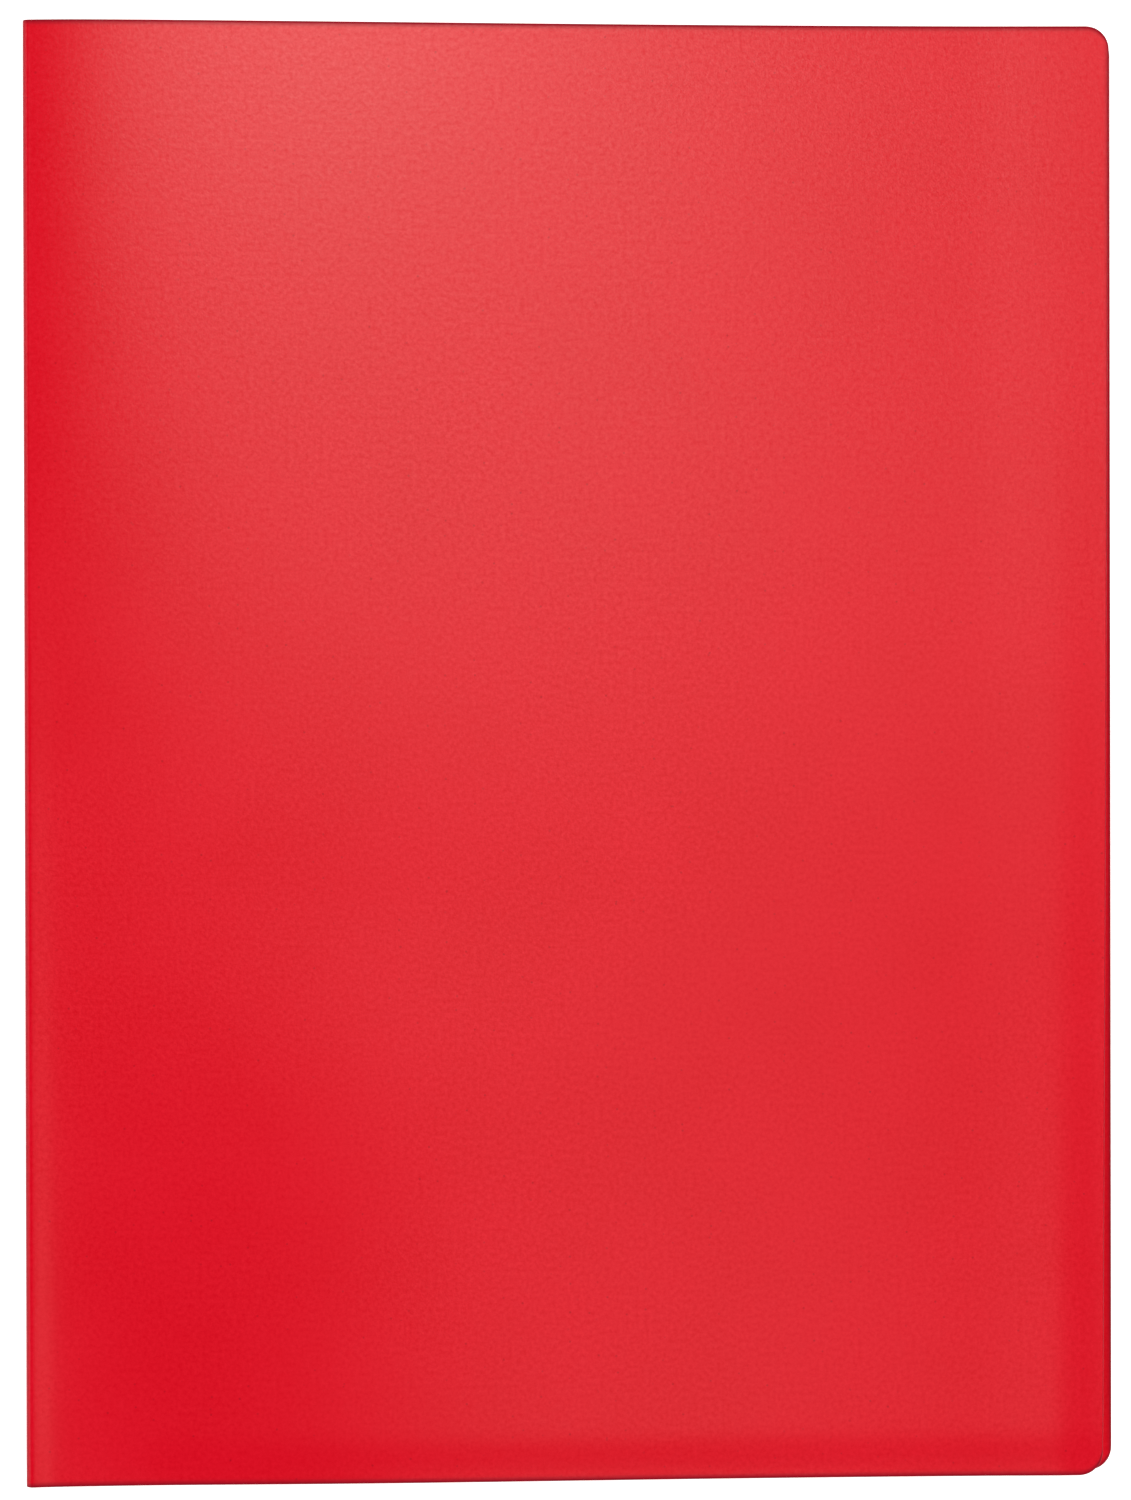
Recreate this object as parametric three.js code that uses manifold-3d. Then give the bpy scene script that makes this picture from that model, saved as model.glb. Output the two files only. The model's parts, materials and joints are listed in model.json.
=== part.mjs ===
// A display book: a creased polypropylene cover with clear pockets welded into its spine.
// It lies closed on its back cover. X runs from the spine to the fore-edge, Y up the page,
// Z up off the table. Sizes are in millimetres, angles in degrees.
import * as THREE from 'three';
import { mergeVertices } from 'three/addons/utils/BufferGeometryUtils.js';
import Module from 'manifold-3d';

const wasm = await Module();
wasm.setup();

// Cover sheet
const coverWidth = 232; // outer face of the spine to the fore-edge of the back cover
const coverHeight = 310; // along the spine
const coverSheet = 0.7; // thickness of the sheet
const coverCorner = 5; // radius of the two corners at the fore-edge
const headInset = 1.2; // the front cover stops this much short of the back cover at the head
const footInset = 2.8; // and this much at the foot, because it is folded slightly askew
const bowReach = 205; // from the spine crease to where the front cover lies level
const bowPower = 1.3; // how fast the front cover comes down from the spine
const shoulderShare = 0.14; // share of its way down that the cover makes close to the spine
const shoulderReach = 14; // how far from the spine crease that steep start dies away

// Pressed creases: the sheet thins from both sides to a narrow web at the fold line
const creaseWeb = 0.3; // sheet left in the fold
const creaseFlank = 0.8; // width of each sloping side of the groove
const creaseGap = 0.05; // hairline between the two halves of the fold

// Binding strip inside the spine, with one weld bead for each pocket
const stripSheet = 0.6; // thickness of the strip
const stripStart = 0.75; // from the inside of the back cover to the strip
const stripMargin = 0.4; // plain strip outside the first and last bead's share
const stripHeadroom = 1.95; // from the strip to the inside of the front cover at the spine
const weldPitch = 0.6; // from one pocket's weld to the next
const beadHeight = 0.25; // how far a bead stands off the strip
const beadFoot = 0.36; // width of a bead on the strip
const beadCrest = 0.16; // width of a bead at its crest

// Pockets: two clear films welded together on three sides and open at the top
const pocketCount = 20;
const pocketHeight = 303; // along the spine
const pocketFoot = 4; // from the foot of the cover to the foot of the pockets
const pocketFore = 5; // from the fore-edge of the back cover to that of the pockets
const pocketCorner = 3; // radius of the two corners at the fore-edge
const flangeWidth = 8; // fused strip that is bound into the spine
const seamWidth = 3; // fused seam at the foot and the fore-edge
const seamSheet = 0.08; // thickness where the two films are fused
const beadWall = 0.4; // solid edge of the weld beside the hollow
const film = 0.05; // thickness of one film
const hollow = 0.08; // room between the films of an empty pocket
const lipDrop = 3; // the front film ends this much below the back film

// Running clearances
const weldGap = 0.1; // from a bead's crest to the pocket that turns on it
const pocketAir = 0.05; // between two pockets at the fore-edge
const backAir = 0.15; // between the back cover and the first pocket there
const coverAir = 0.2; // between the last pocket and the front cover where they come closest

// Worked out from the sizes above
const pocketSheet = 2 * film + hollow;
const pocketPitch = pocketSheet + pocketAir;
const creaseTip = creaseWeb / 2 + creaseGap;
const stripHeight = pocketCount * weldPitch + 2 * stripMargin;
const stripFoot = coverSheet + stripStart;
const spineHeight = stripFoot + stripHeight + stripHeadroom + coverSheet;
const pivotX = -coverWidth / 2 + coverSheet / 2;
const backPivotZ = coverSheet / 2;
const frontPivotZ = spineHeight - coverSheet / 2;
const backReach = coverWidth / 2 - pivotX;
const frontReach = backReach - Math.min(headInset, footInset);
const weldX = coverSheet / 2 + stripSheet + beadHeight + weldGap;
const pocketReach = backReach - pocketFore - weldX;
const pocketY = (2 * pocketFoot + pocketHeight - coverHeight) / 2;

// Height of a pocket's middle plane: at its weld in the spine, and at its fore-edge
const weldZ = (k) => stripFoot + stripMargin + (k - 0.5) * weldPitch;
const foreZ = (k) => coverSheet + backAir + (k - 0.5) * pocketPitch;

// Share of the cover's rise that is left at a distance from the spine crease
const shoulder = (s) => Math.exp(-s / shoulderReach) * Math.max(0, 1 - s / bowReach);
const sweep = (s) => Math.max(0, 1 - s / bowReach) ** bowPower;
const bow = (s) => shoulderShare * shoulder(s) + (1 - shoulderShare) * sweep(s);

// Distances from the spine crease at which the bowed cover is drawn, closest at the spine
function bowStations() {
  const steps = 18;
  const crowding = 1.6;
  const first = creaseTip + creaseFlank;
  const reach = Math.min(bowReach, frontReach);
  const stations = [];
  for (let i = 0; i <= steps; i += 1) stations.push(first + (reach - first) * (i / steps) ** crowding);
  if (frontReach > reach) stations.push(frontReach);
  return stations;
}

// The lowest that the front cover's inside can lie at the fore-edge and clear the last pocket
function foreInside() {
  const crease = frontPivotZ - coverSheet / 2;
  let lowest = 0;
  for (const s of bowStations()) {
    const along = Math.min(1, Math.max(0, (s - weldX) / pocketReach));
    const sheet = weldZ(pocketCount) + (foreZ(pocketCount) - weldZ(pocketCount)) * along;
    const need = sheet + pocketSheet / 2 + coverAir;
    lowest = Math.max(lowest, (need - crease * bow(s)) / (1 - bow(s)));
  }
  return lowest;
}

const coverDrop = frontPivotZ - foreInside() - coverSheet / 2;

// A three.js geometry as a solid that can be joined and cut, and back again
function toSolid(geometry) {
  geometry.deleteAttribute('normal');
  geometry.deleteAttribute('uv');
  const merged = mergeVertices(geometry, 1e-4);
  return new wasm.Manifold(
    new wasm.Mesh({
      numProp: 3,
      vertProperties: merged.attributes.position.array,
      triVerts: new Uint32Array(merged.index.array),
    }),
  );
}

function toGeometry(solid) {
  const mesh = solid.getMesh();
  const points = new Float32Array((mesh.vertProperties.length / mesh.numProp) * 3);
  for (let i = 0; i < points.length / 3; i += 1) {
    for (let axis = 0; axis < 3; axis += 1) {
      points[3 * i + axis] = mesh.vertProperties[mesh.numProp * i + axis];
    }
  }
  const indexed = new THREE.BufferGeometry();
  indexed.setAttribute('position', new THREE.BufferAttribute(points, 3));
  indexed.setIndex(new THREE.BufferAttribute(new Uint32Array(mesh.triVerts), 1));
  const flat = indexed.toNonIndexed();
  flat.computeVertexNormals();
  return flat;
}

// A section in the XZ plane, run along Y from low to high
function alongY(points, low, high) {
  const shape = new THREE.Shape(points.map(([x, z]) => new THREE.Vector2(x, z)));
  const geometry = new THREE.ExtrudeGeometry(shape, { depth: high - low, bevelEnabled: false });
  geometry.rotateX(Math.PI / 2);
  geometry.translate(0, high, 0);
  return toSolid(geometry);
}

// A sheet seen from above, square at the spine side and rounded at the fore-edge. Its fore-edge
// lies at x1 at the foot and may lean out to x1 + lean at the head.
function plan(x0, x1, y0, y1, radius, z0, z1, lean = 0) {
  const headX = x1 + lean;
  const shape = new THREE.Shape();
  shape.moveTo(x0, y0);
  shape.lineTo(x1 - radius, y0);
  if (radius > 0) shape.absarc(x1 - radius, y0 + radius, radius, -Math.PI / 2, 0, false);
  else shape.lineTo(x1, y0);
  shape.lineTo(headX, y1 - radius);
  if (radius > 0) shape.absarc(headX - radius, y1 - radius, radius, 0, Math.PI / 2, false);
  shape.lineTo(x0, y1);
  const geometry = new THREE.ExtrudeGeometry(shape, {
    depth: z1 - z0,
    bevelEnabled: false,
    curveSegments: 8,
  });
  geometry.translate(0, 0, z0);
  return toSolid(geometry);
}

// A stretch of the cover sheet as a section: it starts at a crease and follows a height line
function sheetSection(stations, height) {
  const upper = [[creaseTip, height(creaseTip) + creaseWeb / 2]];
  const lower = [[creaseTip, height(creaseTip) - creaseWeb / 2]];
  for (const s of stations) {
    upper.push([s, height(s) + coverSheet / 2]);
    lower.push([s, height(s) - coverSheet / 2]);
  }
  return [...lower, ...upper.reverse()];
}

// Back cover, measured from the back crease
function backCover() {
  const section = sheetSection([creaseTip + creaseFlank, backReach], () => 0);
  const half = coverHeight / 2;
  const outline = plan(0, backReach, -half, half, coverCorner, -coverSheet, coverSheet);
  return alongY(section, -half, half).intersect(outline);
}

// Front cover, measured from the front crease: it comes down from the spine in a soft bow
function frontCover() {
  const section = sheetSection(bowStations(), (s) => coverDrop * (bow(s) - 1));
  const half = coverHeight / 2;
  const depth = coverDrop + coverSheet;
  const lean = footInset - headInset;
  const outline = plan(0, backReach - footInset, -half, half, coverCorner, -depth, coverSheet, lean);
  return alongY(section, -half, half).intersect(outline);
}

// Spine panel, measured from the back crease, with a crease along each side
function spinePanel() {
  const length = frontPivotZ - backPivotZ;
  const ends = [
    [creaseTip, creaseWeb / 2],
    [creaseTip + creaseFlank, coverSheet / 2],
    [length - creaseTip - creaseFlank, coverSheet / 2],
    [length - creaseTip, creaseWeb / 2],
  ];
  const inner = ends.map(([z, x]) => [x, z]);
  const outer = ends.map(([z, x]) => [-x, z]).reverse();
  return alongY([...inner, ...outer], -coverHeight / 2, coverHeight / 2);
}

// Binding strip, measured from the back crease, with a weld bead under each pocket
function bindingStrip() {
  const back = coverSheet / 2;
  const face = back + stripSheet;
  const foot = stripFoot - backPivotZ;
  const points = [[back, foot + stripHeight], [back, foot], [face, foot]];
  for (let k = 1; k <= pocketCount; k += 1) {
    const z = weldZ(k) - backPivotZ;
    points.push([face, z - beadFoot / 2]);
    points.push([face + beadHeight, z - beadCrest / 2]);
    points.push([face + beadHeight, z + beadCrest / 2]);
    points.push([face, z + beadFoot / 2]);
  }
  points.push([face, foot + stripHeight]);
  return alongY(points, pocketY - pocketHeight / 2, pocketY + pocketHeight / 2);
}

// One pocket, lying flat and measured from its weld
function pocket() {
  const foot = pocketY - pocketHeight / 2;
  const head = pocketY + pocketHeight / 2;
  const seam = seamSheet / 2;
  const pouch = pocketSheet / 2;
  const inside = hollow / 2;
  const spineSide = flangeWidth + beadWall;
  const foreSide = pocketReach - seamWidth - beadWall;
  const past = 1; // cutters run this far beyond the open edge
  const fused = plan(0, pocketReach, foot, head, pocketCorner, -seam, seam);
  const puffed = plan(flangeWidth, pocketReach - seamWidth, foot + seamWidth, head, 0, -pouch, pouch);
  const room = plan(spineSide, foreSide, foot + seamWidth + beadWall, head + past, 0, -inside, inside);
  const lip = plan(spineSide, foreSide, head - lipDrop, head + past, 0, 0, pocketSheet);
  return fused.add(puffed).subtract(room).subtract(lip);
}

// Finishes
const redSheet = { color: 0xe0303a, roughness: 0.48, metalness: 0 };
const clearFilm = { color: 0xe9eef0, roughness: 0.22, metalness: 0, transparent: true, opacity: 0.35 };
const clearStrip = { color: 0xdfe5e8, roughness: 0.35, metalness: 0, transparent: true, opacity: 0.8 };

function named(name, geometry, finish) {
  const mesh = new THREE.Mesh(geometry, new THREE.MeshStandardMaterial(finish));
  mesh.name = name;
  return mesh;
}

// The book: the spine turns on the back crease, and the front cover and pockets turn on the spine
const book = new THREE.Group();
book.add(named('back_cover', toGeometry(backCover()), redSheet));
book.children[0].position.set(pivotX, 0, backPivotZ);

const spine = new THREE.Group();
spine.position.set(pivotX, 0, backPivotZ);
spine.add(named('spine_panel', toGeometry(spinePanel()), redSheet));
spine.add(named('binding_strip', toGeometry(bindingStrip()), clearStrip));

const front = named('front_cover', toGeometry(frontCover()), redSheet);
front.position.set(0, 0, frontPivotZ - backPivotZ);
spine.add(front);

const leaf = toGeometry(pocket());
for (let k = 1; k <= pocketCount; k += 1) {
  const sheet = named(`pocket_${String(k).padStart(2, '0')}`, leaf.clone(), clearFilm);
  sheet.position.set(weldX, 0, weldZ(k) - backPivotZ);
  sheet.rotation.y = Math.atan2(weldZ(k) - foreZ(k), pocketReach);
  spine.add(sheet);
}
book.add(spine);

export default book;
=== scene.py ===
# A closed display book on a pale table, seen from straight above.
# Shapes are worked out in millimetres and turned into metres when a mesh is made.
import json
import math

import bmesh
import bpy
import numpy as np
from mathutils import Euler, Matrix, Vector


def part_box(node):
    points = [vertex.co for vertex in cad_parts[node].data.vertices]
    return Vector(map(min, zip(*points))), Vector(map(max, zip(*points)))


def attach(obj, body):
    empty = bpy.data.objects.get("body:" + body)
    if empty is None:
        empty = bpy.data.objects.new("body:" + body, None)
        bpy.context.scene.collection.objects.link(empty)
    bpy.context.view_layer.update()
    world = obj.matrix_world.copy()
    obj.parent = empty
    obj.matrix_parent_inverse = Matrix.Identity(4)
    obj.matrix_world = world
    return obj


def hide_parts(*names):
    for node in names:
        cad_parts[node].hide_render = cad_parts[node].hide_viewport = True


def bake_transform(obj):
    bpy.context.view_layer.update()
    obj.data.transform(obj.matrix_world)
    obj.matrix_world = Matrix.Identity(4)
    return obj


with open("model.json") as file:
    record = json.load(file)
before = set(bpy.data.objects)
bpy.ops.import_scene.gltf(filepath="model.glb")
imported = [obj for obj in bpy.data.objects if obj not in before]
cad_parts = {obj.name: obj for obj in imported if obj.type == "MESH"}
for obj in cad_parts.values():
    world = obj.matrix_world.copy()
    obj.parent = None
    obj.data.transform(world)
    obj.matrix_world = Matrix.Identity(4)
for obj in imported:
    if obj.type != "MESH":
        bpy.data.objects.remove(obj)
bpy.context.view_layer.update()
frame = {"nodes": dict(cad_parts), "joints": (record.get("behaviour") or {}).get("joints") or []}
scene = bpy.context.scene
mm = 0.001


def boxOf(node):
    low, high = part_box(node)
    return np.array(low) / mm, np.array(high) / mm


def jointPlace(name):
    joint = next(j for j in frame["joints"] if j["name"] == name)
    return np.array(joint["pos_m"]) / mm


def easeIn(t):
    t = np.clip(t, 0.0, 1.0)
    return t * t * (3 - 2 * t)


# Camera

cameraLook = {
    "place": (-4.96, 4.60, 810.0),  # over the middle of the book
    "tilt": -0.2835,  # degrees about X, Y and Z: the book lies a little askew in the frame
    "swing": -0.2413,
    "roll": -0.1184,
    "lens": 90.13,
    "film": 36.0,  # long side of the picture
}


def addCamera(look):
    data = bpy.data.cameras.new("overheadCamera")
    data.sensor_fit = "AUTO"
    data.sensor_width = look["film"]
    data.lens = look["lens"]
    camera = bpy.data.objects.new("overheadCamera", data)
    camera.location = Vector(look["place"]) * mm
    turn = (math.radians(look["tilt"]), math.radians(look["swing"]), math.radians(look["roll"]))
    camera.rotation_euler = Euler(turn, "XYZ")
    scene.collection.objects.link(camera)
    scene.camera = camera


addCamera(cameraLook)
print("camera stands over the book")


# Node helpers

def blankMaterial(name):
    material = bpy.data.materials.new(name)
    material.use_nodes = True
    material.node_tree.nodes.clear()
    return material, material.node_tree


# A socket is named with _ for a space, or by its place: s0, s1 and so on
def put(tree, kind, settings=None, **sockets):
    node = tree.nodes.new(kind)
    for key, value in (settings or {}).items():
        setattr(node, key, value)
    for key, value in sockets.items():
        place = int(key[1:]) if key[1:].isdigit() else key.replace("_", " ")
        socket = node.inputs[place]
        if isinstance(value, bpy.types.NodeSocket):
            tree.links.new(value, socket)
        else:
            socket.default_value = value
    return node


def sums(tree, operation, first, second=0.0):
    return put(tree, "ShaderNodeMath", {"operation": operation}, s0=first, s1=second).outputs[0]


def ramp(tree, value, low, high, outLow=0.0, outHigh=1.0):
    node = put(
        tree, "ShaderNodeMapRange", {"interpolation_type": "SMOOTHSTEP"},
        Value=value, From_Min=low, From_Max=high, To_Min=outLow, To_Max=outHigh,
    )
    return node.outputs["Result"]


def blendColour(tree, amount, first, second):
    node = put(tree, "ShaderNodeMix", {"data_type": "RGBA"}, s0=amount, s6=first, s7=second)
    return node.outputs[2]


def grain(tree, at, size, detail=2.0, roughness=0.5):
    node = put(
        tree, "ShaderNodeTexNoise", {"noise_dimensions": "3D"},
        Vector=at, Scale=1 / (size * mm), Detail=detail, Roughness=roughness,
    )
    return node.outputs["Fac"]


# Table, backdrop and lights

stageLook = {
    "radius": 20000.0,
    "clearance": 0.2,  # room for the swell of the front when the book lies wide open
    "colour": (0.93, 0.93, 0.925, 1),
    "paler": (0.95, 0.95, 0.945, 1),  # in cloudy patches
    "cloudSize": 400.0,
    "roughness": 0.9,
    "glow": 0.75,  # a lit table keeps the shadows pale
    "horizon": (1.0, 1.0, 1.0, 1),
    "overhead": (0.0, 0.0, 0.0, 1),
    "ring": 1.78,  # strength of the pale walls round the table
    "ringTop": (0.52, 0.74),  # the walls fade out between these heights, as sines of the elevation
    "ringFoot": (0.20, 0.40),  # and are dimmer below these, so that low views keep their colour
    "footShare": 0.35,  # share of their strength left there
}

lightLook = [
    {"name": "headSoftbox", "place": (47, 512, 1500), "size": (258, 120), "watts": 4.5},
    {"name": "wideSoftbox", "place": (142, 173, 1500), "size": (395, 358), "watts": 2.32},
    {"name": "footSoftbox", "place": (224, -382, 1500), "size": (120, 443), "watts": 1.16},
]
warmLight = (1.0, 0.95, 0.85)


def addTable(look):
    material, tree = blankMaterial("paleTable")
    at = put(tree, "ShaderNodeTexCoord").outputs["Object"]
    cloud = grain(tree, at, look["cloudSize"], 3.0)
    colour = blendColour(tree, ramp(tree, cloud, 0.3, 0.7), look["colour"], look["paler"])
    shader = put(
        tree, "ShaderNodeBsdfPrincipled",
        Base_Color=colour, Roughness=look["roughness"],
        Emission_Color=(1, 1, 1, 1), Emission_Strength=look["glow"],
    )
    put(tree, "ShaderNodeOutputMaterial", Surface=shader.outputs[0])
    mesh = bpy.data.meshes.new("table")
    build = bmesh.new()
    bmesh.ops.create_circle(build, cap_ends=True, segments=96, radius=look["radius"] * mm)
    build.to_mesh(mesh)
    build.free()
    mesh.materials.append(material)
    table = bpy.data.objects.new("table", mesh)
    table.location = (0, 0, -look["clearance"] * mm)
    scene.collection.objects.link(table)


def addWalls(look):
    world = bpy.data.worlds.new("studio")
    scene.world = world
    world.use_nodes = True
    tree = world.node_tree
    tree.nodes.clear()
    way = put(tree, "ShaderNodeTexCoord").outputs["Generated"]
    height = put(tree, "ShaderNodeSeparateXYZ", Vector=way).outputs["Z"]
    fade = ramp(tree, height, *look["ringTop"])
    colour = blendColour(tree, fade, look["horizon"], look["overhead"])
    dimmed = look["ring"] * look["footShare"]
    strength = ramp(tree, height, *look["ringFoot"], dimmed, look["ring"])
    light = put(tree, "ShaderNodeBackground", Color=colour, Strength=strength)
    put(tree, "ShaderNodeOutputWorld", Surface=light.outputs[0])


def addSoftbox(look):
    data = bpy.data.lights.new(look["name"], "AREA")
    data.shape = "RECTANGLE"
    data.size = look["size"][0] * mm
    data.size_y = look["size"][1] * mm
    data.energy = look["watts"]
    data.color = warmLight
    lamp = bpy.data.objects.new(look["name"], data)
    lamp.location = Vector(look["place"]) * mm  # an unturned area light shines straight down
    scene.collection.objects.link(lamp)


addTable(stageLook)
addWalls(stageLook)
for softbox in lightLook:
    addSoftbox(softbox)
scene.view_settings.view_transform = "Standard"
print("table and", len(lightLook), "softboxes are set")


# Mesh helpers

def makePiece(name, points, faces, flat, material, sharp=35.0, rim=None):
    mesh = bpy.data.meshes.new(name)
    mesh.from_pydata([tuple(p) for p in np.asarray(points) * mm], [], faces)
    sheetMap = mesh.uv_layers.new(name="sheetMap")
    corners = np.zeros(len(mesh.loops), np.int32)
    mesh.loops.foreach_get("vertex_index", corners)
    sheetMap.uv.foreach_set("vector", (np.asarray(flat)[corners] * mm).astype(np.float32).ravel())
    if rim is not None:
        shade = mesh.attributes.new("rim", "FLOAT", "POINT")
        shade.data.foreach_set("value", np.asarray(rim, np.float32))
    build = bmesh.new()
    build.from_mesh(mesh)
    bmesh.ops.recalc_face_normals(build, faces=build.faces)
    build.to_mesh(mesh)
    build.free()
    mesh.materials.append(material)
    mesh.shade_smooth()
    mesh.set_sharp_from_angle(angle=math.radians(sharp))
    mesh.validate()
    piece = bpy.data.objects.new(name, mesh)
    scene.collection.objects.link(piece)
    return piece


def gridFaces(columns, rows, start=0):
    faces = []
    for i in range(columns - 1):
        for j in range(rows - 1):
            a = start + i * rows + j
            faces.append((a, a + rows, a + rows + 1, a + 1))
    return faces


def rimOf(columns, rows):
    foot = [(i, 0) for i in range(columns - 1)]
    fore = [(columns - 1, j) for j in range(rows - 1)]
    head = [(i, rows - 1) for i in range(columns - 1, 0, -1)]
    back = [(0, j) for j in range(rows - 1, 0, -1)]
    return foot + fore + head + back


# Cover: one red sheet, made as a front and a back half that meet in the spine

coverLook = {
    "sheet": 0.7,  # thickness
    "corner": 5.0,  # radius of the corners at the fore-edge
    "edgeRound": 0.2,
    "foldRadius": 1.15,  # middle of the sheet in the fold
    "foldRelief": 0.22,  # the fold is thinned this much from the inside
    "reliefMargin": 0.5,  # and this far beyond its ends
    "foldEase": 0.2,  # beyond the fold the front turns down within about this distance
    "bowReach": 205.0,  # the front cover comes down from the spine in the same bow as its solid
    "bowPower": 1.3,
    "shoulderShare": 0.14,  # part of the drop that comes right beside the spine
    "shoulderReach": 14.0,
    "swell": 0.77,  # it stands up off the pockets beside the spine
    "headSwell": 2.40,  # and this much more at the head
    "swellRise": (27.1, 15.1),  # how fast it comes up, at the foot and at the head
    "swellFall": (0.69, 1.69),  # and how it goes down towards the fore-edge
    "swellFoot": -152.8,  # height up the page where the extra swell begins
    "swellSpan": 256.6,
    "footRoll": 0.20,  # at the foot the sheet rolls over further beside the fold
    "footRollReach": 3.0,
    "shelf": 1.5,  # towards the foot it stays higher, most of all this far from the fold
    "shelfReach": 76.2,
    "shelfHead": -26.4,
    "shelfSpan": 62.0,
    "headInset": 1.2,  # the front is cut this much shorter than the back
    "footInset": 2.8,
    "leanReach": 60.0,  # the difference between the two is taken up over this width
    "seamHeight": 3.0,  # the two halves meet here, just above the back crease
    "footSag": 0.56,  # pockets are thinner along their seams, and the front sags onto them
    "footSagWidth": 11.0,
    "foreSag": 0.90,  # towards the foot of the fore-edge
    "foreSagWidth": 12.5,
    "foreSagSpan": 516.0,
    "backThin": 0.28,  # the free edge of the back is pressed thinner
    "backThinWidth": 3.0,
    "waves": 0.05,  # height of the unevenness, and its lengths across and up the page
    "longWave": (31.0, 90.0),
    "crossWave": (160.0, 47.0),
    "fineWave": (19.0, 35.0),
    "fineShare": 0.6,
    "fineShift": 1.3,
    "firmWidth": 4.0,  # waves and sag begin this far from the spine
    "firmFade": 30.0,
    "rimWidth": 0.65,  # painted shade darkens a cut edge over about this width
    "foldShade": 0.80,  # and the fold gets painted shade too, about a place given as a share of its length
    "foldShadePlace": 0.3,
    "foldShadeWidth": 0.6,
    "blendMargin": 0.9,  # a crease bends over its radius and this much to both sides
    "pathStep": 0.5,  # from here on: how finely the sheets are divided
    "foldSteps": 60,
    "frontSteps": 60,  # from the seam up to the front crease
    "backSteps": 20,  # and down to the back crease
    "spineColumns": 5,
    "seamColumn": 0.2,
    "nearFold": 1.0,
    "nearColumns": 6,
    "foldColumns": 14,
    "shoulder": 30.0,  # columns stand closer together beside the fold
    "shoulderColumns": 30,
    "closeness": 1.7,
    "middleColumns": 44,
    "foreWidth": 12.0,
    "foreColumns": 12,
    "cornerColumns": 12,
    "edgeRows": (0, 0.5, 1, 1.6, 2.3, 3, 4, 5, 6, 7, 8, 9, 10.5, 12, 14, 17, 20, 25),
    "middleRows": 52,
    "middleInset": 30.0,
    "edgeAngles": (50, 25, 0.01, -0.01, -25, -50),  # the cut edge is rounded over
}

frontPivot = jointPlace("front_crease")
backPivot = jointPlace("back_crease")
frontLow, frontHigh = boxOf("front_cover")
backHigh = boxOf("back_cover")[1]
halfHeight = backHigh[1]
coverDrop = frontPivot[2] - frontLow[2] - coverLook["sheet"] / 2


def bowLeft(s, look):
    left = np.maximum(0.0, 1 - s / look["bowReach"])
    start = look["shoulderShare"] * np.exp(-s / look["shoulderReach"]) * left
    return start + (1 - look["shoulderShare"]) * left ** look["bowPower"]


# The middle of the sheet, from the seam in the spine through the crease to the fore-edge.
# side is 1 for the front and -1 for the back
def sheetPath(pivot, side, foreInset, look):
    pivotX, pivotZ = pivot[0], pivot[2]
    radius = look["foldRadius"]
    foldZ = pivotZ - side * radius
    spineSteps = look["frontSteps"] if side > 0 else look["backSteps"]
    rise = np.linspace(look["seamHeight"], foldZ, spineSteps, endpoint=False)
    turn = np.linspace(0, math.pi / 2, look["foldSteps"], endpoint=False)
    reach = backHigh[0] - foreInset - pivotX
    run = np.concatenate([np.arange(radius, reach, look["pathStep"]), [reach]])
    x = np.concatenate([rise * 0, radius * (1 - np.cos(turn)), run]) + pivotX
    z = np.concatenate([rise, foldZ + side * radius * np.sin(turn), run * 0 + pivotZ])
    along = np.concatenate([[0], np.cumsum(np.hypot(np.diff(x), np.diff(z)))])
    dx, dz = np.gradient(x, along), np.gradient(z, along)
    size = np.hypot(dx, dz)
    foldStart = side * (foldZ - look["seamHeight"])
    return {
        "side": side,
        "along": along,
        "length": along[-1],
        "x": x,
        "z": z,
        "outX": -side * dz / size,
        "outZ": side * dx / size,
        "foldStart": foldStart,
        "foldEnd": foldStart + radius * math.pi / 2,
    }


def sheetColumns(path, look):
    foldStart, foldEnd = path["foldStart"], path["foldEnd"]
    nearStart = max(foldStart - look["nearFold"], look["seamColumn"])
    shoulderEnd = foldEnd + look["shoulder"]
    flatEnd = path["length"] - look["corner"]
    foreStart = flatEnd - look["foreWidth"]
    pressed = np.linspace(0, 1, look["shoulderColumns"], endpoint=False) ** look["closeness"]
    spine = [0.0]
    if foldStart > 2 * look["nearFold"]:
        spine = np.linspace(0, nearStart, look["spineColumns"], endpoint=False)
    return np.concatenate([
        spine,
        np.linspace(nearStart, foldStart, look["nearColumns"], endpoint=False),
        np.linspace(foldStart, foldEnd, look["foldColumns"], endpoint=False),
        foldEnd + (shoulderEnd - foldEnd) * pressed,
        np.linspace(shoulderEnd, foreStart, look["middleColumns"], endpoint=False),
        np.linspace(foreStart, flatEnd, look["foreColumns"], endpoint=False),
    ])


# Rows up the page, as shares of its height
def sheetRows(look):
    page = 2 * halfHeight
    edge = np.array(look["edgeRows"])
    inset = look["middleInset"]
    middle = np.linspace(inset, page - inset, look["middleRows"])
    return np.concatenate([edge, middle, page - edge[::-1]]) / page


def thickness(u, path, look):
    half = look["sheet"] / 2
    middle = (path["foldStart"] + path["foldEnd"]) / 2
    spread = (path["foldEnd"] - path["foldStart"]) / 2 + look["reliefMargin"]
    inside = half - look["foldRelief"] * easeIn(1 - np.abs(u - middle) / spread)
    if path["side"] < 0:
        toFore = path["length"] - u
        inside = inside - look["backThin"] * np.clip(1 - toFore / look["backThinWidth"], 0, 1) ** 2
    return half, inside


def sagAt(x, y, look):
    foot = easeIn(1 - (y + halfHeight) / look["footSagWidth"])
    fore = easeIn(1 - (frontHigh[0] - x) / look["foreSagWidth"])
    lower = easeIn((halfHeight - y) / look["foreSagSpan"])
    return look["footSag"] * foot + look["foreSag"] * fore * lower


def firmBeside(s, look):
    return easeIn((s - look["firmWidth"]) / look["firmFade"])


def between(pair, share):
    return pair[0] + share * (pair[1] - pair[0])


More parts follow.
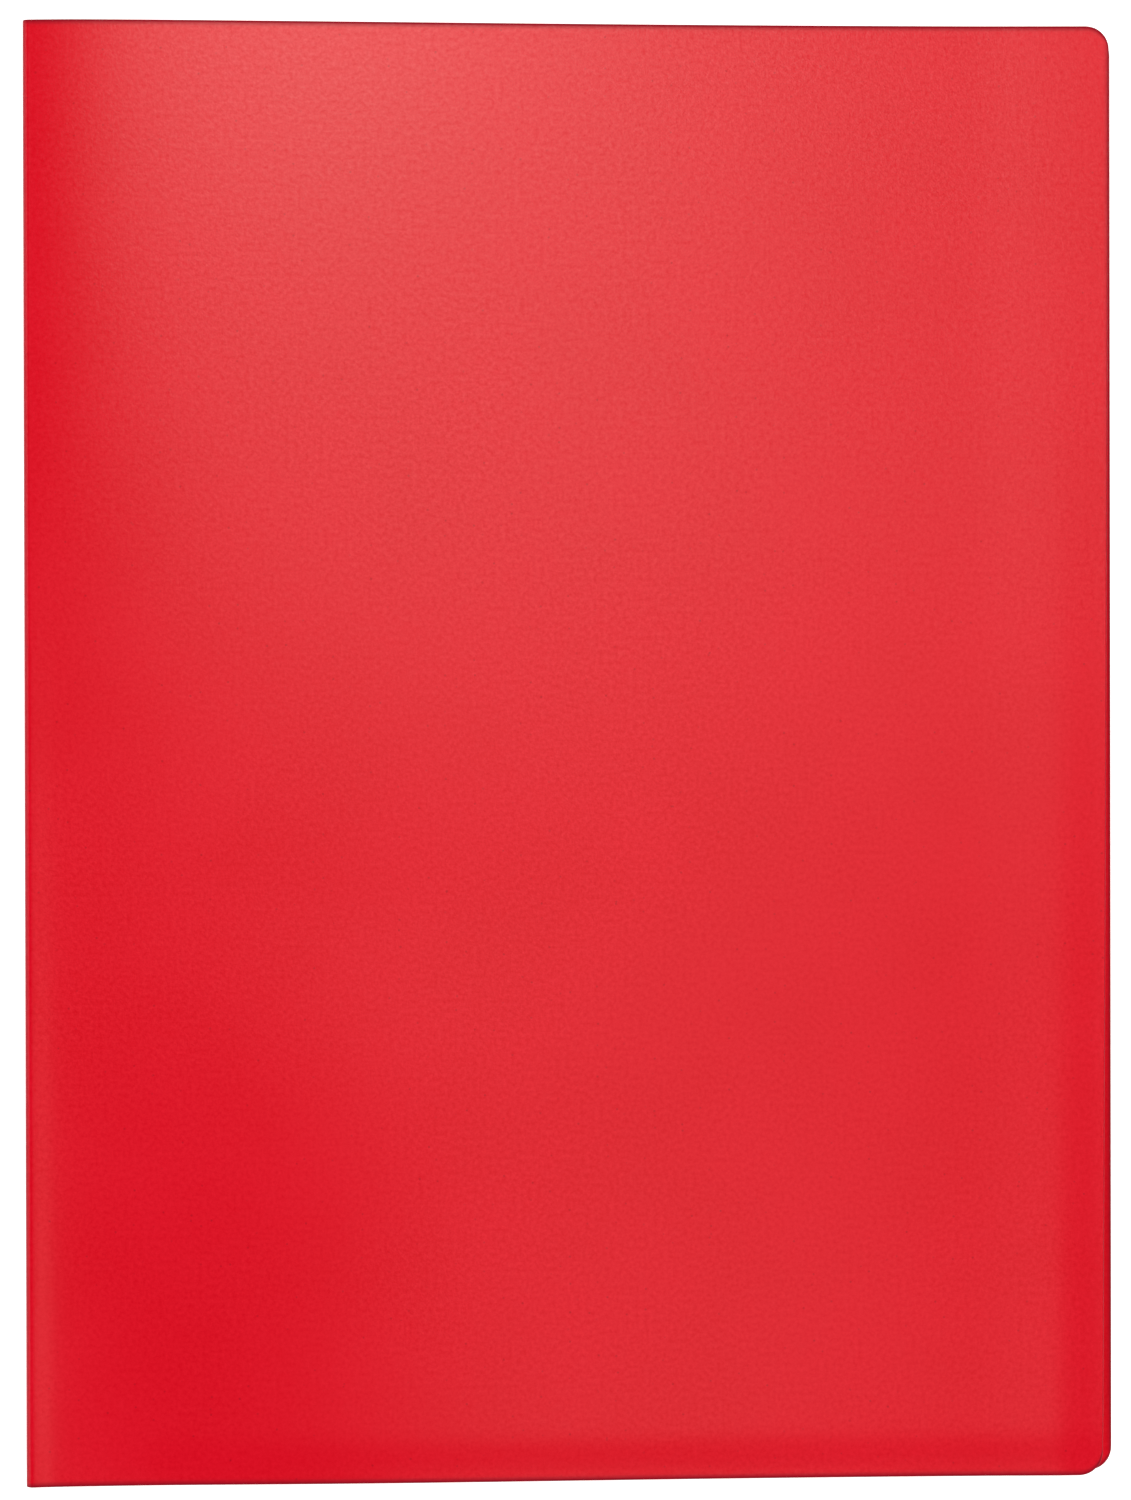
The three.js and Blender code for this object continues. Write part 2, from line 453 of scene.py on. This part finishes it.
def unevenness(u, v, look):
    long, cross, fine = look["longWave"], look["crossWave"], look["fineWave"]
    slow = np.sin(u / long[0] + v / long[1]) * np.cos(v / cross[1] - u / cross[0])
    return slow + look["fineShare"] * np.sin(u / fine[0] - v / fine[1] + look["fineShift"])


# How far the front stands above a flat sheet at u across it and v up the page
def frontLift(u, v, path, look):
    past = np.maximum(0.0, u - path["foldEnd"])
    s = np.hypot(past, look["foldEase"]) - look["foldEase"]
    room = np.maximum(0.0, 1 - s / look["bowReach"])
    head = easeIn((v - look["swellFoot"]) / look["swellSpan"])
    rise = between(look["swellRise"], head)
    fall = between(look["swellFall"], head)
    swell = (look["swell"] + look["headSwell"] * head) * (1 - np.exp(-s / rise)) * room ** fall
    rolled = 1 - np.exp(-((s / look["footRollReach"]) ** 2))
    roll = look["footRoll"] * (1 - head) * rolled * room
    bend = (s / look["shelfReach"]) ** 2
    low = easeIn((look["shelfHead"] - v) / look["shelfSpan"])
    shelf = look["shelf"] * low * bend * np.exp(1 - bend)
    sag = sagAt(np.interp(u, path["along"], path["x"]), v, look)
    bow = coverDrop * (1 - bowLeft(s, look))
    uneven = look["waves"] * unevenness(u, v, look) - sag
    return swell + shelf - bow - roll + firmBeside(s, look) * uneven


# painted shade for the material: 1 at a cut edge and less in the fold
def rimShade(u, low, rows, path, look):
    toEnd = np.minimum(rows, 1 - rows)[None, :] * 2 * np.abs(low)[:, None]
    toEdge = np.minimum(toEnd, path["length"] - u)
    foldLength = path["foldEnd"] - path["foldStart"]
    foldPlace = path["foldStart"] + look["foldShadePlace"] * foldLength
    inFold = easeIn(1 - np.abs(u - foldPlace) / (look["foldShadeWidth"] * foldLength))
    return np.maximum(np.exp(-((toEdge / look["rimWidth"]) ** 2)), look["foldShade"] * inFold)


def makeSheet(name, path, look, lean, material):
    columns = sheetColumns(path, look)
    arc = np.linspace(0, math.pi / 2, look["cornerColumns"])
    rows = sheetRows(look)
    rounding = look["edgeRound"]
    arcStart = path["length"] - look["corner"]
    count, rowCount = len(columns) + len(arc), len(rows)

    def onPath(u, key):
        return np.interp(u, path["along"], path[key])

    # facing is 1 on the outside of the sheet, -1 on its inside and in between on the cut edge
    def layer(inset, facing):
        radius = look["corner"] - inset
        u = np.concatenate([columns, arcStart + radius * np.sin(arc)])[:, None]
        straight, corner = columns * 0 + inset, look["corner"] - radius * np.cos(arc)
        low = np.concatenate([straight, corner]) - halfHeight
        v = low[:, None] * (1 - 2 * rows[None, :])
        leaning = easeIn((u - arcStart + look["leanReach"]) / look["leanReach"])
        u = u - lean * (0.5 - v / (2 * halfHeight)) * leaning
        outside, inside = thickness(u, path, look)
        core = np.where(facing > 0, outside, -inside) - np.sign(facing) * rounding
        away = core + rounding * facing
        if path["side"] > 0:
            away = away + frontLift(u, v, path, look)
        x = onPath(u, "x") + away * onPath(u, "outX")
        z = onPath(u, "z") + away * onPath(u, "outZ")
        rim = rimShade(u, low, rows, path, look)
        return np.stack([x, v, z], -1), np.stack([path["side"] * u, v], -1), rim

    top, topFlat, topRim = layer(rounding, 1.0)
    bottom, bottomFlat, bottomRim = layer(rounding, -1.0)
    points = [top.reshape(-1, 3), bottom.reshape(-1, 3)]
    flats = [topFlat.reshape(-1, 2), bottomFlat.reshape(-1, 2)]
    rims = [topRim.ravel(), bottomRim.ravel()]
    size = count * rowCount
    faces = gridFaces(count, rowCount)
    faces += [face[::-1] for face in gridFaces(count, rowCount, size)]
    rim = rimOf(count, rowCount)
    loops = [[i * rowCount + j for i, j in rim]]
    start = 2 * size
    for angle in look["edgeAngles"]:
        turn = math.radians(angle)
        ring, ringFlat, _ = layer(rounding * (1 - math.cos(turn)), math.sin(turn))
        rims.append(np.ones(len(rim)))
        points.append(np.array([ring[i, j] for i, j in rim]))
        flats.append(np.array([ringFlat[i, j] for i, j in rim]))
        loops.append(list(range(start, start + len(rim))))
        start += len(rim)
    loops.append([size + i * rowCount + j for i, j in rim])
    for upper, lower in zip(loops, loops[1:]):
        for k in range(len(rim)):
            after = (k + 1) % len(rim)
            faces.append((upper[k], lower[k], lower[after], upper[after]))
    points, flats, rims = [np.concatenate(parts) for parts in (points, flats, rims)]
    return makePiece(name, points, faces, flats, material, rim=rims)


redLook = {
    "deep": (0.765, 0.0001, 0.0120, 1),
    "pale": (0.840, 0.0048, 0.0235, 1),
    "cut": (0.31, 0.0060, 0.0180, 1),  # painted shade at the cut edges and in the folds
    "speck": (0.42, 0.0010, 0.0080, 1),
    "sheen": (0.16, 0.34),  # reflection of the darkest and of the palest flecks
    "rimSheen": 0.45,  # share of it left at a cut edge
    "roughness": (0.277, 0.288),
    "grainSize": 0.80,
    "grainDepth": 0.028,
    "grainPress": (0.6, 1.0),  # the grain is pressed deeper in some places
    "fineSize": 0.40,
    "fineDepth": 0.2,  # as a share of the coarse grain's
    "fleckSize": 1.04,
    "contrast": 2.8,  # between the palest and the darkest flecks
    "cloudSize": 34.0,
    "cloudTone": (0.35, 0.65),
    "patchSize": 90.0,
    "speckSpacing": 2.0,
    "speckReach": (0.05, 0.17),
    "speckDepth": 0.45,
    "speckChoice": (0.6, 0.9),  # only some cells get a speck
}


def redPlastic(look):
    material, tree = blankMaterial("redSheet")
    flat = put(tree, "ShaderNodeUVMap", {"uv_map": "sheetMap"}).outputs[0]
    coarse = grain(tree, flat, look["grainSize"], 4.0, 0.65)
    fine = grain(tree, flat, look["fineSize"], 1.5)
    cloud = grain(tree, flat, look["cloudSize"], 3.0)
    patch = grain(tree, flat, look["patchSize"], 2.0)
    fleck = grain(tree, flat, look["fleckSize"], 4.0, 0.7)
    strength = ramp(tree, patch, 0.3, 0.7, *look["grainPress"])
    tone = sums(tree, "MULTIPLY", sums(tree, "SUBTRACT", fleck, 0.5), look["contrast"])
    tone = sums(tree, "MULTIPLY", tone, strength)
    tone = sums(tree, "ADD", tone, ramp(tree, cloud, 0.3, 0.7, *look["cloudTone"]))
    colour = blendColour(tree, tone, look["deep"], look["pale"])
    speckScale = 1 / (look["speckSpacing"] * mm)
    dust = put(tree, "ShaderNodeTexVoronoi", {"feature": "F1"}, Vector=flat, Scale=speckScale)
    chosen = put(tree, "ShaderNodeSeparateXYZ", Vector=dust.outputs["Color"]).outputs["X"]
    dot = ramp(tree, dust.outputs["Distance"], *look["speckReach"], look["speckDepth"], 0.0)
    dot = sums(tree, "MULTIPLY", dot, ramp(tree, chosen, *look["speckChoice"]))
    colour = blendColour(tree, dot, colour, look["speck"])
    # painted shade: the cut edges and the fold are blended towards the dark cut colour
    rim = put(tree, "ShaderNodeAttribute", {"attribute_name": "rim"}).outputs["Fac"]
    colour = blendColour(tree, rim, colour, look["cut"])
    height = sums(tree, "ADD", coarse, sums(tree, "MULTIPLY", fine, look["fineDepth"]))
    bump = put(
        tree, "ShaderNodeBump",
        Strength=strength, Distance=look["grainDepth"] * mm, Height=height,
    )
    rough = ramp(tree, cloud, 0.25, 0.75, *look["roughness"])
    dull, bright = look["sheen"]
    sheen = put(
        tree, "ShaderNodeMapRange",
        Value=fleck, From_Min=0.25, From_Max=0.75, To_Min=dull, To_Max=bright,
    ).outputs["Result"]
    sheen = sums(tree, "MULTIPLY", sheen, ramp(tree, rim, 0.0, 1.0, 1.0, look["rimSheen"]))
    shader = put(
        tree, "ShaderNodeBsdfPrincipled",
        Base_Color=colour, Roughness=rough, IOR=1.49,
        Specular_IOR_Level=sheen, Normal=bump.outputs[0],
    )
    put(tree, "ShaderNodeOutputMaterial", Surface=shader.outputs[0])
    return material


frontCourse = sheetPath(frontPivot, 1, coverLook["headInset"], coverLook)
backCourse = sheetPath(backPivot, -1, 0.0, coverLook)
redSheet = redPlastic(redLook)
coverLean = coverLook["footInset"] - coverLook["headInset"]
frontSheet = makeSheet("front_sheet", frontCourse, coverLook, coverLean, redSheet)
backSheet = makeSheet("back_sheet", backCourse, coverLook, 0.0, redSheet)

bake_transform(frontSheet)
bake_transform(backSheet)
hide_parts("front_cover", "spine_panel")
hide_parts("back_cover", "spine_panel")
print("cover is folded from two halves:", len(frontSheet.data.vertices), "points in the front")


# Pockets: two clear films, fused at the spine, the foot and the fore-edge

pocketLook = {
    "flange": 8.0,  # width of the fused part at the spine
    "seam": 3.0,  # and at the foot and the fore-edge
    "seamSheet": 0.08,  # thickness of the fused part
    "beadWall": 0.4,  # beside it the films part over this width
    "film": 0.05,  # thickness of one film
    "hollow": 0.08,  # room between the two
    "lipDrop": 3.0,  # the front film ends this much lower than the back one
    "corner": 3.0,
    "cornerSpread": 12.0,  # rows give way to the corners over this height
    "ripple": 0.05,  # height of the films' unevenness, and its lengths across and up
    "rippleAcross": 23.0,
    "rippleBend": (31.0, 0.6),
    "rippleCross": (140.0, 52.0),
    "rippleFade": 12.0,  # it lies flat beside the weld
    "tint": (0.62, 0.66, 0.70, 1),
    "clear": (0.992, 0.996, 0.997, 1),
    "inside": ((0.990, 0.994, 0.995, 1), (1.0, 1.0, 1.0, 1)),
    "insideSize": 60.0,
    "roughness": (0.10, 0.22),
    "streakSize": 24.0,
    "haze": 0.020,  # share of the light that the film stops, seen square on
    "glint": 0.4,  # more of it at a flat angle
    "seamHaze": 0.05,  # and in the seams
    "knurl": 5.0,  # pitch of the pattern pressed into the seams
    "flangeColumns": 5,
    "pouchColumns": 42,
    "pouchRows": 22,
    "cornerColumns": 7,
}


# reach is the width of the pocket and low the height of its foot
def clearFilm(look, reach, low):
    material, tree = blankMaterial("clearFilm")
    flat = put(tree, "ShaderNodeUVMap", {"uv_map": "sheetMap"}).outputs[0]
    parts = put(tree, "ShaderNodeSeparateXYZ", Vector=flat)
    across, up = parts.outputs["X"], parts.outputs["Y"]
    fore = sums(tree, "GREATER_THAN", across, (reach - look["seam"]) * mm)
    foot = sums(tree, "LESS_THAN", up, (low + look["seam"]) * mm)
    spine = sums(tree, "LESS_THAN", across, look["flange"] * mm)
    seam = sums(tree, "MAXIMUM", sums(tree, "MAXIMUM", fore, foot), spine)
    knurl = put(
        tree, "ShaderNodeTexWave", {"bands_direction": "DIAGONAL"},
        Vector=flat, Scale=1 / (look["knurl"] * mm),
    )
    streak = grain(tree, flat, look["streakSize"], 0.0)
    facing = put(tree, "ShaderNodeLayerWeight", Blend=0.25).outputs["Fresnel"]
    cover = sums(tree, "ADD", sums(tree, "MULTIPLY", facing, look["glint"]), look["haze"])
    pressed = sums(tree, "MULTIPLY", seam, ramp(tree, knurl.outputs["Fac"], 0.2, 0.8, 0.3, 1.0))
    cover = sums(tree, "ADD", cover, sums(tree, "MULTIPLY", pressed, look["seamHaze"]))
    shine = put(
        tree, "ShaderNodeBsdfPrincipled",
        Base_Color=look["tint"], Roughness=ramp(tree, streak, 0.2, 0.8, *look["roughness"]),
        IOR=1.49, Specular_IOR_Level=1.0,
    )
    through = put(tree, "ShaderNodeBsdfTransparent", Color=look["clear"])
    mixed = put(tree, "ShaderNodeMixShader", s0=cover, s1=through.outputs[0], s2=shine.outputs[0])
    put(tree, "ShaderNodeOutputMaterial", Surface=mixed.outputs[0])
    return material


def filmInside(look):
    material, tree = blankMaterial("filmInside")
    at = put(tree, "ShaderNodeUVMap", {"uv_map": "sheetMap"}).outputs[0]
    tint = blendColour(tree, grain(tree, at, look["insideSize"], 0.0), *look["inside"])
    through = put(tree, "ShaderNodeBsdfTransparent", Color=tint)
    put(tree, "ShaderNodeOutputMaterial", Surface=through.outputs[0])
    return material


# Four layers of points: the outer and inner sides of the two films
def pocketShape(reach, low, high, look):
    seam, wall, rounding = look["seam"], look["beadWall"], look["corner"]
    foreSeam = reach - seam
    arc = np.linspace(0, math.pi / 2, look["cornerColumns"])[1:]
    columns = np.concatenate([
        np.linspace(0, look["flange"], look["flangeColumns"]),
        np.linspace(look["flange"] + wall, foreSeam - wall, look["pouchColumns"]),
        [foreSeam],
        reach - rounding + rounding * np.sin(arc),
    ])
    body = np.linspace(low + seam + wall, high - look["lipDrop"], look["pouchRows"])
    rows = np.concatenate([[low, low + seam], body, [high]])
    first = look["flangeColumns"]  # the two films part between these columns
    last = first + look["pouchColumns"] - 1
    footRow, lipRow = 2, len(rows) - 2
    cut = np.zeros((len(columns), 1))
    cut[-len(arc):, 0] = rounding * (1 - np.cos(arc))
    spread = look["cornerSpread"]
    u = np.repeat(columns[:, None], len(rows), 1)
    v = np.repeat(rows[None, :], len(columns), 0)
    v = v + cut * np.clip((low + spread - v) / spread, 0, 1)
    v = v - cut * np.clip((v - high + spread) / spread, 0, 1)
    bendLength, bend = look["rippleBend"]
    crossAcross, crossUp = look["rippleCross"]
    wave = np.sin(u / look["rippleAcross"] + bend * np.sin(v / bendLength))
    wave = wave * np.cos(v / crossUp + u / crossAcross)
    wave = look["ripple"] * easeIn(u / look["rippleFade"]) * wave
    gap = look["hollow"] / 2
    outer = np.full(u.shape, look["seamSheet"] / 2)
    outer[first:last + 1, footRow:] = look["film"] + gap
    inner = np.full(u.shape, gap)
    points = []
    for height in (outer, -outer, inner, -inner):
        points.append(np.stack([u, v, wave + height], -1).reshape(-1, 3))
    flat = np.tile(np.stack([u, v], -1).reshape(-1, 2), (4, 1))
    faces, inside = pocketFaces(len(columns), len(rows), first, last, footRow, lipRow)
    return np.concatenate(points), flat, faces, inside


def pocketFaces(columns, rows, first, last, footRow, lipRow):
    size = columns * rows
    head = rows - 1

    def at(layer, i, j):
        return layer * size + i * rows + j

    def cell(layer, i, j):
        return at(layer, i, j), at(layer, i + 1, j), at(layer, i + 1, j + 1), at(layer, i, j + 1)

    def wall(upper, lower, i, j, i2, j2):
        return at(upper, i, j), at(upper, i2, j2), at(lower, i2, j2), at(lower, i, j)

    top, bottom, topInside, bottomInside = range(4)
    faces, inside = [], []
    for i in range(columns - 1):
        for j in range(rows - 1):
            inPouch = first <= i < last and j >= footRow
            if not (inPouch and j >= lipRow):
                faces.append(cell(top, i, j))
            faces.append(cell(bottom, i, j)[::-1])
            if inPouch:
                if j < lipRow:
                    inside.append(cell(topInside, i, j)[::-1])
                inside.append(cell(bottomInside, i, j))
    for i in range(first, last):  # closed foot of the pouch, its lip and the head of the back film
        inside.append(wall(topInside, bottomInside, i, footRow, i + 1, footRow))
        faces.append(wall(top, topInside, i, lipRow, i + 1, lipRow))
        faces.append(wall(bottomInside, bottom, i, head, i + 1, head))
    for i in (first, last):
        for j in range(footRow, lipRow):
            inside.append(wall(topInside, bottomInside, i, j, i, j + 1))
        lip = at(top, i, lipRow), at(top, i, head), at(bottomInside, i, head)
        inside.append(lip + (at(bottomInside, i, lipRow), at(topInside, i, lipRow)))
    for i in range(columns - 1):
        faces.append(wall(top, bottom, i, 0, i + 1, 0))
        if not first - 1 <= i <= last:
            faces.append(wall(top, bottom, i, head, i + 1, head))
    start = at(top, first - 1, head), at(top, first, head), at(bottomInside, first, head)
    faces.append(start + (at(bottom, first, head), at(bottom, first - 1, head)))
    end = at(top, last, head), at(top, last + 1, head), at(bottom, last + 1, head)
    faces.append(end + (at(bottom, last, head), at(bottomInside, last, head)))
    for i in (0, columns - 1):
        for j in range(rows - 1):
            faces.append(wall(top, bottom, i, j, i, j + 1))
    return faces, inside


pocketNames = sorted(n for n in frame["nodes"] if n.startswith("pocket_"))
firstLow, firstHigh = boxOf(pocketNames[0])
weldStart = jointPlace("turn_01")[0]
pocketReach = firstHigh[0] - weldStart
shape, shapeFlat, outerFaces, innerFaces = pocketShape(
    pocketReach, firstLow[1], firstHigh[1], pocketLook,
)
across, up, off = shape.T
firm = firmBeside(across, coverLook)
filmMaterial = clearFilm(pocketLook, pocketReach, firstLow[1])
insideMaterial = filmInside(pocketLook)
filmFaces = outerFaces + innerFaces
isInside = [0] * len(outerFaces) + [1] * len(innerFaces)
for name in pocketNames:
    weld = jointPlace(name.replace("pocket", "turn"))
    low = boxOf(name)[0]
    foreHeight = low[2] + pocketLook["seamSheet"] / 2
    slope = math.atan2(weld[2] - foreHeight, pocketReach)
    # the sag adds up from pocket to pocket
    share = (pocketNames.index(name) + 1) / len(pocketNames)
    sag = share * sagAt(weld[0] + across, up, coverLook) * firm
    turned = np.stack([
        weld[0] + across * math.cos(slope) + off * math.sin(slope),
        up,
        weld[2] - across * math.sin(slope) + off * math.cos(slope) - sag,
    ], -1)
    pocket = makePiece(name + "_film", turned, filmFaces, shapeFlat, filmMaterial, 30.0)
    pocket.data.materials.append(insideMaterial)
    pocket.data.polygons.foreach_set("material_index", isInside)
    pocket.visible_shadow = False  # clear film throws hardly any shadow and tints no light
    pocket.visible_diffuse = False
    pocket.visible_glossy = False
    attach(pocket, name)
    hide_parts(name)
scene.cycles.transparent_max_bounces = 64  # enough for a view through the whole stack
print(len(pocketNames), "pockets are welded")


# Binding strip, with one rounded bead for each pocket

stripLook = {
    "sheet": 0.6,
    "beadWidth": 0.42,
    "beadSteps": 8,
    "beadFullness": 0.7,  # below 1 the beads are squarer than half round
    "stations": 62,  # sections along the strip
    "milk": (0.78, 0.82, 0.84, 1),
    "paler": (0.86, 0.89, 0.90, 1),
    "cloudSize": 9.0,
    "grainSize": 0.8,
    "grainDepth": 0.04,
    "roughness": 0.3,
    "clear": (0.95, 0.97, 0.97, 1),
    "milkiness": 0.8,  # share of the strip that isn't clear
}


def milkyPlastic(look):
    material, tree = blankMaterial("milkyStrip")
    at = put(tree, "ShaderNodeTexCoord").outputs["Object"]
    fine = grain(tree, at, look["grainSize"], 3.0)
    cloud = ramp(tree, grain(tree, at, look["cloudSize"], 2.0), 0.3, 0.7)
    colour = blendColour(tree, cloud, look["milk"], look["paler"])
    depth = look["grainDepth"] * mm
    bump = put(tree, "ShaderNodeBump", Strength=0.6, Distance=depth, Height=fine)
    body = put(
        tree, "ShaderNodeBsdfPrincipled",
        Base_Color=colour, Roughness=look["roughness"], IOR=1.49, Normal=bump.outputs[0],
    )
    through = put(tree, "ShaderNodeBsdfTransparent", Color=look["clear"])
    mixed = put(
        tree, "ShaderNodeMixShader",
        s0=look["milkiness"], s1=through.outputs[0], s2=body.outputs[0],
    )
    put(tree, "ShaderNodeOutputMaterial", Surface=mixed.outputs[0])
    return material


def makeStrip(look):
    low, high = boxOf("binding_strip")
    face = low[0] + look["sheet"]
    crest = high[0] - face
    section = [(low[0], high[2]), (low[0], low[2]), (face, low[2])]
    for name in pocketNames:
        middle = jointPlace(name.replace("pocket", "turn"))[2]
        for k in range(look["beadSteps"] + 1):
            turn = math.pi * k / look["beadSteps"]
            across = look["beadWidth"] / 2 * math.cos(turn)
            swell = crest * math.sin(turn) ** look["beadFullness"]
            section.append((face + swell, middle - across))
    section.append((face, high[2]))
    stations = np.linspace(low[1], high[1], look["stations"])
    points = [(x, y, z) for y in stations for x, z in section]
    count = len(section)
    faces = [tuple(range(count)), tuple(range(len(points) - count, len(points)))[::-1]]
    for i in range(len(stations) - 1):
        for k in range(count):
            a, b = i * count + k, i * count + (k + 1) % count
            faces.append((a, b, b + count, a + count))
    flat = [(x + z, y) for x, y, z in points]
    return makePiece("binding_strip_welded", points, faces, flat, milkyPlastic(look), 50.0)


strip = makeStrip(stripLook)
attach(strip, "spine")
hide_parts("binding_strip")
print("binding strip is in the spine")
